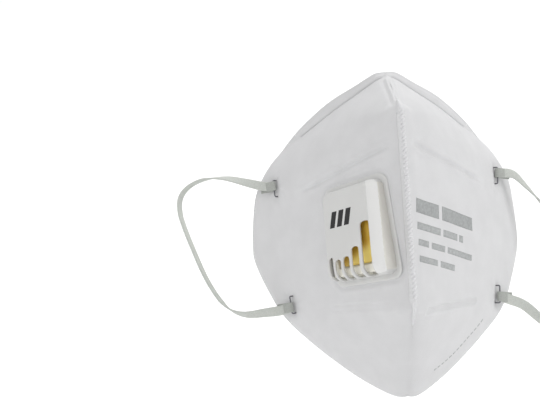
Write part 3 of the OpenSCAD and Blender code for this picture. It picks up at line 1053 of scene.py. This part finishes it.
def front_weld():
    """The corded front edge: a thin fin with a rope-like bead, faired into the nose and chin ridges."""
    front = weld_low[1] + 0.15
    ends = []
    for ridge in (chin_ridge, nose_ridge):
        near = ridge_front(ridge, 0, FAIR_HEIGHT)
        step = ridge[1][1:]
        corner = near + step * (front - near[0]) / step[0]
        ends.append([corner, ridge_front(ridge, 3.5, FAIR_HEIGHT - 0.2), ridge_front(ridge, 10.0, -0.6)])
    path = even(rounded_path([*ends[0][::-1], *ends[1]], 2.4, 8), 0.2)
    run = run_along(path)
    low, high = (float(np.interp(z, path[:, 1], run)) for z in (ends[0][0][1], ends[1][0][1]))
    rings = []
    for point, d, at in zip(path, directions(path), run):
        inward = np.array([d[1], -d[0]])
        pressed = float(smooth(at, low - 1.0, low + 1.5) * (1 - smooth(at, high - 1.5, high + 1.0)))
        gone = float(max(1 - smooth(at, 0, low), smooth(at, high, run[-1])))
        depth = 4.4 - 2.6 * gone
        cheek_side = [(0.74 + 0.9 * (1 - share) ** 2, depth + (1.0 - depth) * share)
                      for share in np.linspace(0, 1, 9)]
        rope = []
        for a in np.radians(np.linspace(15, 165, 21)):
            stroke = abs(math.sin(math.pi * (at - 0.85 * math.cos(a)) / STROKE_PITCH)) ** 0.6
            radius = ROPE_RADIUS + pressed * (0.6 * stroke - 0.3)
            rope.append((radius * math.cos(a), 1.0 - radius * math.sin(a)))
        section = cheek_side + rope + [(-x, into) for x, into in cheek_side[::-1]]
        slim = 1 - 0.35 * gone
        rings.append([[x * slim, *(point + inward * into)] for x, into in section])
    piece = sweep("front_weld_cord", rings, weld_cloth)
    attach(piece, "centre")
    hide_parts("centre_weld")


# ---- valve ----

def to_valve_world(points):
    """Valve frame (x away from the weld, y up, z out of the outer cloth) to the row frame."""
    points = np.asarray(points, float)
    flat = from_valve(points[:, :2])
    return on_side(placed(flat, OUTER[1] + points[:, 2]), "right")


def side_ring(size, insets, radius, drops, height, quarter=30):
    """One ring of a rounded box. insets and drops are for the sides +x, +y, -x, -y."""
    w, h = size[0] / 2, size[1] / 2
    low = np.array([-w + insets[2], -h + insets[3]])
    high = np.array([w - insets[0], h - insets[1]])
    radius = min(radius, (high - low).min() / 2 - 0.01)
    centre, half = (low + high) / 2, (high - low) / 2 - radius
    straight = 0.2                # share of a quarter's points on the straight at each end of it
    ring = []
    for k, sign in enumerate(((1, 1), (-1, 1), (-1, -1), (1, -1))):
        corner = centre + half * sign
        ends = [np.array([corner[0], centre[1]]), np.array([centre[0], corner[1]])]
        start, end = ends if k % 2 == 0 else ends[::-1]
        for lead in np.arange(quarter) / quarter:
            n = turned(90 * (k + np.clip((lead - straight) / (1 - 2 * straight), 0, 1)))
            point = corner + radius * n
            if lead < straight:
                point = point + (start - corner) * (1 - lead / straight)
            elif lead > 1 - straight:
                point = point + (end - corner) * (lead - 1 + straight) / straight
            drop = np.maximum([*n, *-n], 0) ** 2 @ drops
            ring.append([*point, height(*point) - drop])
    return ring


COVER_TOP, COVER_BOTTOM = 4.2, 8.6


def cover_height(x, y, sunk=0.0):
    """The cover's face: a wedge with a raised bar at the weld side that rolls over towards the weld."""
    rise = COVER_TOP + (COVER_BOTTOM - COVER_TOP) * (valve_size[1] / 2 - y) / valve_size[1]
    bar = 0.75 * float(smooth(-x, 9.2, 11.0)) - 0.032 * max(0.0, -x - 11.0) ** 2
    return rise - sunk + bar


def boxy_solid(size, corner, shoulders, base, height):
    """Rings of a rounded box: straight walls, a rounded shoulder on each side, then the face."""
    rings = [side_ring(size, (0,) * 4, corner, (0,) * 4, lambda x, y: base)]
    for a in np.radians(np.linspace(0, 90, 9)):
        insets = [r * (1 - math.cos(a)) for r in shoulders]
        drops = [r * (1 - math.sin(a)) for r in shoulders]
        rings.append(side_ring(size, insets, corner, drops, height))
    last = np.array(rings[-1])
    centre = last[:, :2].mean(0)
    for share in np.linspace(0.92, 0.04, 14):
        flat = centre + (last[:, :2] - centre) * share
        rings.append([[x, y, height(x, y)] for x, y in flat])
    return rings


def apply_modifiers(piece):
    """Turns a piece's modifiers into its mesh."""
    graph = bpy.context.evaluated_depsgraph_get()
    mesh = bpy.data.meshes.new_from_object(piece.evaluated_get(graph), depsgraph=graph)
    piece.modifiers.clear()
    piece.data = mesh


def boolean(piece, other, operation):
    """Cuts another piece from this one or joins it on; the other one is used up."""
    modifier = piece.modifiers.new("cut", "BOOLEAN")
    modifier.operation = operation
    modifier.solver = "EXACT"
    modifier.object = other
    apply_modifiers(piece)
    bpy.data.objects.remove(other)


def soften(piece, voxel_mm, rounds):
    """Even small faces, with every edge slightly rounded as on a moulding."""
    remesh = piece.modifiers.new("even", "REMESH")
    remesh.mode = "VOXEL"
    remesh.voxel_size = voxel_mm * MM
    relax = piece.modifiers.new("round", "SMOOTH")
    relax.iterations = rounds
    relax.factor = 0.6
    apply_modifiers(piece)
    piece.data.polygons.foreach_set("use_smooth", np.ones(len(piece.data.polygons), bool))
    piece.data.materials.clear()
    piece.data.materials.append(valve_plastic)


def tint(piece, material, chosen):
    """Gives a second material to the faces that chosen(centre in mm, normal) picks."""
    piece.data.materials.append(material)
    index = len(piece.data.materials) - 1
    for face in piece.data.polygons:
        if chosen(face.center / MM, face.normal):
            face.material_index = index


def prism(name, outline, low, high):
    """An upright solid on an outline."""
    return sweep(name, [[[x, y, z] for x, y in outline] for z in (low, high)], valve_plastic)


def block(name, x0, x1, y0, y1, low, high):
    return prism(name, [(x0, y0), (x1, y0), (x1, y1), (x0, y1)], low, high)


def slot_outline(x0, x1, top, bottom):
    """A slot that runs down past bottom's edge, with a round top."""
    half = (x1 - x0) / 2
    corner = min(1.3, half)
    arc = [(x0 + half + half * math.cos(a), top - corner + corner * math.sin(a))
           for a in np.linspace(0, math.pi, 13)]
    return [(x1, bottom)] + arc + [(x0, bottom)]


# left side, right side and top of each slot
SLOTS = [(-10.4, -4.9, 3.6), (-2.9, 1.3, -6.6), (3.0, 6.6, -10.2), (8.2, 11.5, -11.0), (12.9, 15.3, -9.6)]


def valve_cover():
    """The hollow cover with its slots; the face of its bar gets a lighter copy of the plastic as painted
    light, and its wall at the weld side a beige copy as painted shade.
    """
    outer = sweep("valve_cover_shell", boxy_solid(valve_size, 3.6, (1.0, 1.0, 0.4, 6.0), 0.0, cover_height),
                  valve_plastic)
    hollow = boxy_solid(valve_size - 2.2, 2.6, (1.2, 0.8, 0.8, 5.2), -1.0,
                        lambda x, y: cover_height(x, y, 1.05))
    boolean(outer, sweep("valve_cover_hollow", hollow, valve_plastic), "DIFFERENCE")
    for k, (x0, x1, top) in enumerate(SLOTS):
        cutter = prism(f"slot_cutter_{k}", slot_outline(x0, x1, top, -valve_size[1]), 1.5, 12.0)
        boolean(outer, cutter, "DIFFERENCE")
    soften(outer, 0.3, 4)
    # Painted light: the bar's upward faces get the lighter copy of the plastic.
    tint(outer, bar_painted_light_plastic, lambda centre, normal: normal[2] > 0.6 and centre[0] < -11.0 and centre[2] > 3)
    # Painted shade: the faces of the wall towards the weld get the beige copy of the plastic.
    tint(outer, side_painted_shade_plastic, lambda centre, normal: normal[0] < -0.7 and centre[0] < 0.4 - valve_size[0] / 2)
    set_in_place(outer)
    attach(outer, "right_middle")
    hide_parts("valve_cover")


def set_in_place(piece):
    """Moves a piece from the valve's own frame to its place on the right panel."""
    points = np.zeros(len(piece.data.vertices) * 3)
    piece.data.vertices.foreach_get("co", points)
    moved = to_valve_world(points.reshape(-1, 3) / MM) * MM
    piece.data.vertices.foreach_set("co", moved.ravel())
    fix_facing(piece)
    piece.data.update()


# x0, x1, y0, y1 and top of each low wall
BAFFLES = [(-12.0, 7.4, -18.8, -15.2, 4.4), (7.2, 15.4, -18.8, -15.2, 5.4), (12.0, 15.5, -15.4, -8.4, 5.3)]


def valve_seat():
    """Flange with a rounded edge, a raised collar round the port, a cross of ribs in it, and low walls
    behind the slots' lower ends."""
    rings = []
    size = valve_size + 2 * flange_margin
    for inset, z in ((0.3, -0.35), (0.0, 0.0), (0.05, 0.3), (0.35, 0.52), (0.9, 0.6), (2.0, 0.5), (3.2, 0.45),
                     (3.6, 0.45)):
        rings.append(side_ring(size, (inset,) * 4, 5 - inset * 0.6, (0,) * 4, lambda x, y, z=z: z))
    flange = sweep("valve_seat_flange", rings, valve_plastic)
    boolean(flange, prism("collar", rounded_outline((27, 36), 2.5, 1.0), -0.2, 2.1), "UNION")
    boolean(flange, prism("port", rounded_outline((20, 24), 2, 1.0), -2, 4), "DIFFERENCE")
    ribs = [(-0.8, 0.8, -12.5, 12.5, 2.0), (-10.5, 10.5, -0.8, 0.8, 2.0)]
    for k, (*sides, top) in enumerate(ribs + BAFFLES):
        boolean(flange, block(f"wall_{k}", *sides, 0.1, top), "UNION")
    soften(flange, 0.32, 3)
    # Painted light: the part of the seat under the cover gets the brighter cream copy of the plastic.
    within = valve_size / 2 - 1.2
    tint(flange, seat_painted_light_plastic,
         lambda centre, normal: abs(centre[0]) < within[0] and abs(centre[1]) < within[1])
    set_in_place(flange)
    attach(flange, "right_middle")
    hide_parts("valve_seat")


def valve_flap():
    """Thin rubber sheet, held along its top edge and bowed a little off the seat."""
    width, height, thick = 23.0, 29.0, 0.45
    cols, rows = 24, 30
    corner = 2.5
    points = []
    for lift in (thick, 0.0):
        for j in range(rows + 1):
            for i in range(cols + 1):
                x, y = (i / cols - 0.5) * width, (j / rows - 0.5) * height
                qx, qy = abs(x) - width / 2 + corner, abs(y) - height / 2 + corner
                if qx > 0 and qy > 0:
                    scale = corner / max(math.hypot(qx, qy), corner)
                    x = math.copysign(width / 2 - corner + qx * scale, x)
                    y = math.copysign(height / 2 - corner + qy * scale, y)
                bow = 0.3 * math.sin(math.pi * (0.5 - y / height) * 0.5) * (1 - (2 * x / width) ** 2)
                points.append([x, y, 2.35 + lift + max(0, bow)])
    points = np.array(points)
    # Painted light: this runs down and across the flap and sets where the rubber turns to its pale lit
    # yellow.
    painted_light_run = -points[:, 1] - 0.5 * (points[:, 0] + 10)
    piece = mesh_piece("valve_flap_rubber", points, slab_faces(cols + 1, rows + 1), flap_rubber,
                       np.column_stack([painted_light_run, points[:, 0]]))
    set_in_place(piece)
    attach(piece, "flap")
    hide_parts("valve_flap")


def cover_mark():
    """Three slanted bars on the cover's face, a plain mark of no one's."""
    for k in range(3):
        x = 13.1 - 4.4 * k
        points = []
        for lift in (0.04, -0.12):
            for t in np.linspace(0, 1, 9):
                for corner in (x - 2.0 * t, x - 3.0 - 2.0 * t):
                    y = 3.8 + 7.4 * t
                    points.append([corner, y, cover_height(corner, y) + lift])
        piece = mesh_piece(f"cover_mark_{k}", points, slab_faces(2, 9), black_ink, smooth_faces=False)
        set_in_place(piece)
        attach(piece, "right_middle")


# ---- staples ----

WIRE_RADIUS = 0.33


def wire(name, path, radius, sides=12):
    """A round wire along a path, its rings turned as little as possible from one to the next."""
    heading = directions(path)
    side_dir = np.cross(heading[0], [0.3, 0.2, 0.93])
    rings = []
    for p, d in zip(path, heading):
        side_dir = side_dir - (side_dir @ d) * d
        side_dir /= np.linalg.norm(side_dir)
        other = np.cross(d, side_dir)
        rings.append([p + radius * (math.cos(a) * side_dir + math.sin(a) * other)
                      for a in np.arange(sides) * 2 * math.pi / sides])
    return sweep(name, rings, staple_steel)


def rounded_path(corners, radius, steps=6):
    """A polyline with its corners rounded."""
    corners = [np.array(c, float) for c in corners]
    points = [corners[0]]
    for before, here, after in zip(corners[:-2], corners[1:-1], corners[2:]):
        a = (before - here) / np.linalg.norm(before - here)
        b = (after - here) / np.linalg.norm(after - here)
        for t in np.linspace(0, 1, steps):
            start, end = here + a * radius, here + b * radius
            points.append((1 - t) ** 2 * start + 2 * t * (1 - t) * here + t * t * end)
    return np.array(points + [corners[-1]])


def staples():
    """Four staples: a crown across each loop's end and two legs bent over behind the cloth."""
    leg = crown_height + 0.15
    for side in ("right", "left"):
        for end, y in (("lower", 0.0), ("upper", swing_span)):
            low, high = y - crown_half, y + crown_half
            corners = [(0.35, low + 3.4, -leg + 0.25), (0, low, -leg), (0, low, 0),
                       (0, high, 0), (0, high, -leg), (-0.35, high - 3.4, -leg + 0.25)]
            path = from_loop(rounded_path(corners, 0.7), side, lift=0.0)
            piece = wire(f"staple_wire_{end}_{side}", path, WIRE_RADIUS)
            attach(piece, f"{side}_middle")
            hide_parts(f"staple_{end}_{side}")


for panel_side in ("right", "left"):
    build_panel(panel_side)
    nose_strip(panel_side)
front_weld()
print_lines()
rim_dashes()
valve_seat()
valve_flap()
valve_cover()
cover_mark()
staples()


# ---- floor and light ----

def backdrop():
    """A pale floor that sweeps up behind the object."""
    look = Look("backdrop", (0.93, 0.93, 0.93), 0.9, Emission_Color=(1, 1, 1, 1), Emission_Strength=0.04)
    floor_z = cad_box[0].z - 0.028
    sweep_up = [(0.9 + 0.5 * math.sin(a), 0.5 - 0.5 * math.cos(a)) for a in np.linspace(0, math.pi / 2, 16)]
    profile = [(-1.6, 0.0), *sweep_up, (1.4, 2.2)]
    points = [[x, y, floor_z + z] for x in (-2.6, 2.6) for y, z in profile]
    n = len(profile)
    mesh = bpy.data.meshes.new("backdrop")
    mesh.from_pydata(points, [], [(i, i + n, i + n + 1, i + 1) for i in range(n - 1)])
    mesh.materials.append(look.material)
    mesh.polygons.foreach_set("use_smooth", np.ones(len(mesh.polygons), bool))
    piece = bpy.data.objects.new("backdrop", mesh)
    bpy.context.scene.collection.objects.link(piece)


def soft_light(name, location, size, power, aim=(0, 0, 0)):
    lamp = bpy.data.lights.new(name, "AREA")
    lamp.shape = "DISK"
    lamp.size = size
    lamp.energy = power
    light = bpy.data.objects.new(name, lamp)
    bpy.context.scene.collection.objects.link(light)
    light.location = location
    light.rotation_euler = (Vector(aim) - Vector(location)).to_track_quat("-Z", "Y").to_euler()


backdrop()
soft_light("key", (0.85, -0.6, 0.75), 0.6, 4.7)
soft_light("fill", (-0.9, -0.7, 0.45), 0.9, 2.2)
soft_light("back", (0.1, 0.45, 1.0), 1.0, 9, aim=(0, 1.4, 0.1))
world = bpy.data.worlds.new("studio")
bpy.context.scene.world = world
world.use_nodes = True
world.node_tree.nodes["Background"].inputs["Color"].default_value = (1, 1, 1, 1)
world.node_tree.nodes["Background"].inputs["Strength"].default_value = 0.66
bpy.context.scene.view_settings.view_transform = "Standard"
